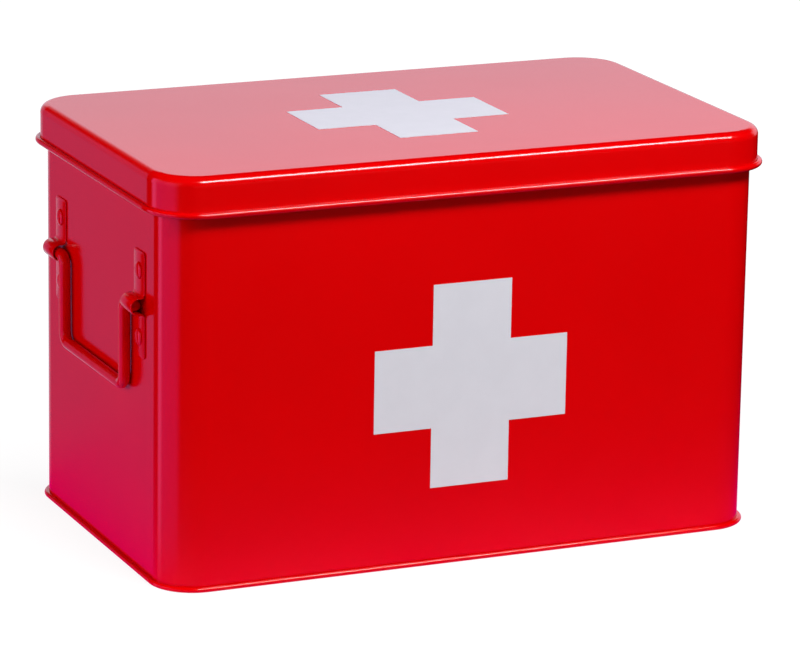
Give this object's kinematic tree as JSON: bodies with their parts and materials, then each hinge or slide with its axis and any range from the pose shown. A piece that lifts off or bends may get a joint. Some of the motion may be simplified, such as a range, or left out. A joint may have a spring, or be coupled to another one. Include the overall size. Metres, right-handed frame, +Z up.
{
  "type": "medicine box",
  "caption": "Sheet-steel medicine box with a hinged lid, a drop handle on each end, white crosses and a lift-out tray.",
  "frame": {"origin": "on the table, under the middle of the box", "axes": "+X to the right seen from the front, +Y to the rear, +Z up"},
  "size_m": [0.3254, 0.1972, 0.2022],
  "materials": {
    "red_enamel": "gloss red stove enamel",
    "white_print": "satin white print",
    "white_enamel": "gloss white enamel",
    "zinc_wire": "zinc plated"
  },
  "bodies": {
    "box": {"body_wall": "red_enamel", "base_panel": "red_enamel", "front_cross": "white_print", "left_bracket_front": "red_enamel", "left_bracket_rear": "red_enamel", "left_bracket_rivets": "red_enamel", "right_bracket_front": "red_enamel", "right_bracket_rear": "red_enamel", "right_bracket_rivets": "red_enamel", "hinge_strap_left": "red_enamel", "hinge_strap_right": "red_enamel", "hinge_rivets": "red_enamel", "tray_rail_left": "red_enamel", "tray_rail_right": "red_enamel"},
    "lid": {"lid_shell": "red_enamel", "lid_cross": "white_print", "hinge_wire": "zinc_wire"},
    "handle_left": {"left_handle": "red_enamel"},
    "handle_right": {"right_handle": "red_enamel"},
    "tray": {"tray_pan": "white_enamel", "tray_long_divider": "white_enamel", "tray_cross_divider_left": "white_enamel", "tray_cross_divider_right": "white_enamel"}
  },
  "joints": [
    {"name": "lid_hinge", "type": "hinge", "parent": "box", "child": "lid", "pos_m": [0, 0.0971, 0.184], "axis": [-1, 0, 0], "range_deg": [0, 105]},
    {"name": "left_handle_swing", "type": "hinge", "parent": "box", "child": "handle_left", "pos_m": [-0.15825, 0, 0.13295], "axis": [0, 1, 0], "range_deg": [0, 180]},
    {"name": "right_handle_swing", "type": "hinge", "parent": "box", "child": "handle_right", "pos_m": [0.15825, 0, 0.13295], "axis": [0, -1, 0], "range_deg": [0, 180]},
    {"name": "tray_lift", "type": "slide", "parent": "box", "child": "tray", "axis": [0, 0, 1], "range_m": [0, 0.023]}
  ]
}
